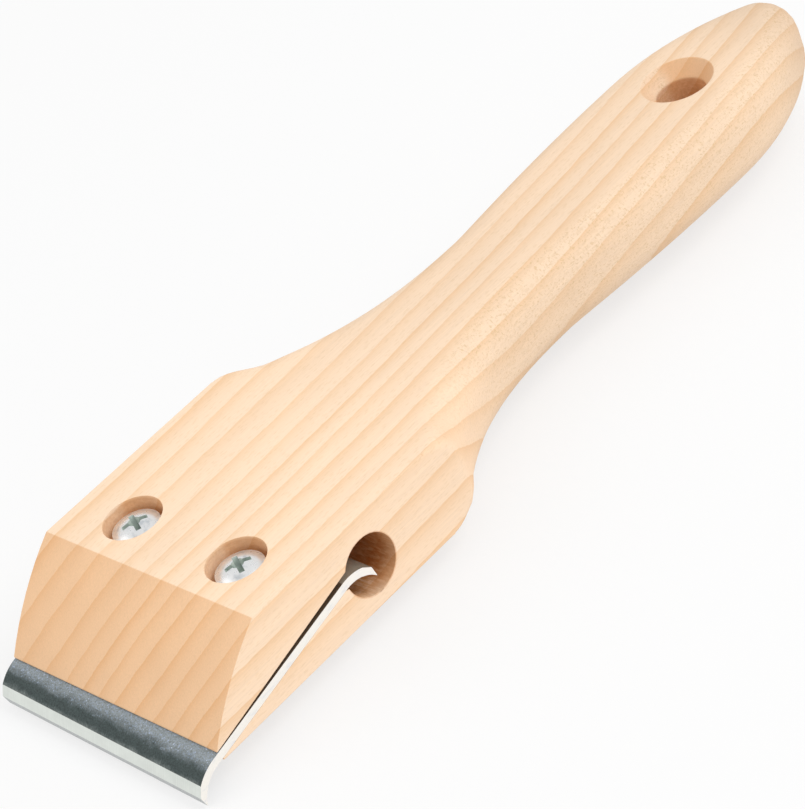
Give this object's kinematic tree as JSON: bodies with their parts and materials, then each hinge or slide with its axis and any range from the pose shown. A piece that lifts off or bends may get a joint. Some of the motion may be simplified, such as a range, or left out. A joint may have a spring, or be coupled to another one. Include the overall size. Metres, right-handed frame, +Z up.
{
  "type": "pull scraper",
  "caption": "Wooden-handled pull scraper whose sawn nose clamps a reversible hooked steel blade under recessed cross-head screws.",
  "frame": {"origin": "under the middle of the tool's length and width, at the height of the lowest cutting edge", "axes": "+Z up through the face with the screw heads, +Y along the handle toward the tail, +X to the right seen from the tail"},
  "size_m": [0.05, 0.18, 0.0204],
  "materials": {
    "beech": "sanded, unvarnished",
    "blade_steel": "mill scale outside, ground at the edges",
    "zinc_plate": "bright zinc plate"
  },
  "bodies": {
    "handle": {"handle": "beech", "blade": "blade_steel", "nut_left": "zinc_plate", "nut_right": "zinc_plate"},
    "screw_left": {"screw_left": "zinc_plate"},
    "screw_right": {"screw_right": "zinc_plate"}
  },
  "joints": [
    {"name": "screw_left_turn", "type": "hinge", "parent": "handle", "child": "screw_left", "pos_m": [-0.0125, -0.06065, 0.01643], "axis": [0, 0, 1], "range_deg": [0, 1130]},
    {"name": "screw_right_turn", "type": "hinge", "parent": "handle", "child": "screw_right", "pos_m": [0.0125, -0.06065, 0.01643], "axis": [0, 0, 1], "range_deg": [0, 1130]}
  ]
}
